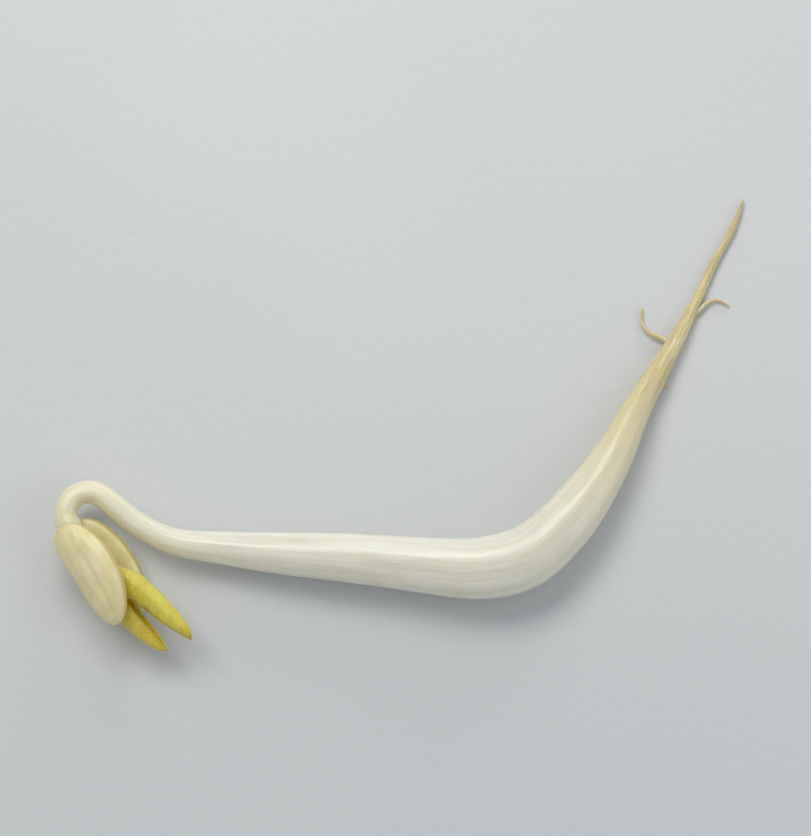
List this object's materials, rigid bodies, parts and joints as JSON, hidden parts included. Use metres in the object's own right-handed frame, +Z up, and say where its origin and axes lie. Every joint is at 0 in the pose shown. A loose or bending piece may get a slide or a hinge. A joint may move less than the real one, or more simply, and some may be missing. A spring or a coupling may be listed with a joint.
{
  "type": "mung bean sprout",
  "caption": "Mung bean sprout lying on its side: plump curved white stem tapering to a root, hooked neck with a pair of seed leaves and folded yellow first leaves.",
  "frame": {"origin": "bottom centre of the box round the whole sprout, on the surface that it lies on", "axes": "+X along the longest extent, from the head towards the root; +Z up, the shortest extent; +Y towards the side that the root bends to"},
  "size_m": [0.0432, 0.029, 0.0043],
  "materials": {
    "stem": "moist satin skin, near white with faint lengthwise streaks, creamier at the neck and tan towards the root's tip, a little light passing through",
    "seed_leaf": "satin, pale cream yellow, finely wrinkled, darker along the rim",
    "first_leaf": "soft bright yellow blade with a paler midrib and veins and short fine hairs"
  },
  "bodies": {
    "root": {"stem_and_root": "stem", "seed_leaf_upper": "seed_leaf", "seed_leaf_lower": "seed_leaf", "first_leaf_inner": "first_leaf", "first_leaf_outer": "first_leaf"}
  },
  "joints": []
}
